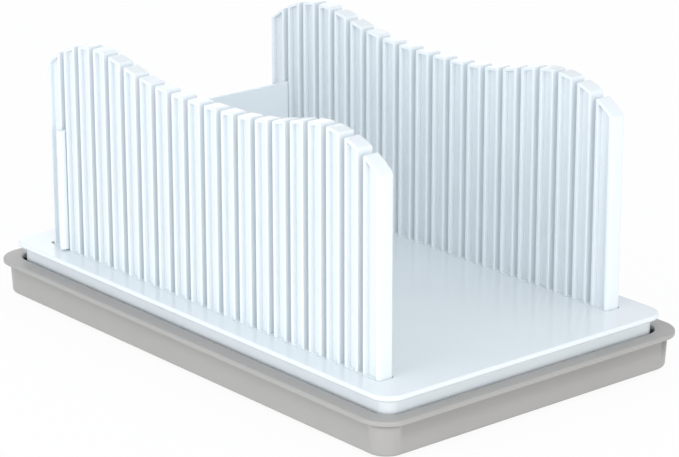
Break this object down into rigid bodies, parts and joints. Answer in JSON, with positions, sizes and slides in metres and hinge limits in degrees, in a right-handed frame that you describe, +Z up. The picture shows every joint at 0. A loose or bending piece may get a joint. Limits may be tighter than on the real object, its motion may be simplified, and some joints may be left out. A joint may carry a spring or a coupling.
{
  "type": "bread slicer guide",
  "caption": "Slotted comb guides with a wavy top and a lift-out loaf stop, plugged into a deck that lifts out of a crumb tray.",
  "frame": {"origin": "on the table, under the middle of the crumb tray", "axes": "+X along the loaf towards the open end, +Y across the loaf towards the far comb, +Z up"},
  "size_m": [0.314, 0.1962, 0.1417],
  "materials": {
    "white_plastic": "gloss",
    "grey_plastic": "satin",
    "foot_rubber": "matte"
  },
  "bodies": {
    "tray": {"crumb_tray": "grey_plastic", "tray_foot_rear_near": "foot_rubber", "tray_foot_rear_far": "foot_rubber", "tray_foot_front_near": "foot_rubber", "tray_foot_front_far": "foot_rubber"},
    "deck": {"deck": "white_plastic"},
    "near_comb": {"near_comb": "white_plastic"},
    "far_comb": {"far_comb": "white_plastic"},
    "stop_plate": {"stop_plate": "white_plastic"}
  },
  "joints": [
    {"name": "guide_lift", "type": "slide", "parent": "tray", "child": "deck", "axis": [0, 0, 1], "range_m": [0, 0.045]},
    {"name": "near_comb_lift", "type": "slide", "parent": "deck", "child": "near_comb", "axis": [0, 0, 1], "range_m": [0, 0.06]},
    {"name": "far_comb_lift", "type": "slide", "parent": "deck", "child": "far_comb", "axis": [0, 0, 1], "range_m": [0, 0.06]},
    {"name": "stop_lift", "type": "slide", "parent": "near_comb", "child": "stop_plate", "axis": [0, 0, 1], "range_m": [0, 0.12]}
  ],
  "couplings": [
    {"joint": "far_comb_lift", "follows": "near_comb_lift", "ratio": 1}
  ]
}
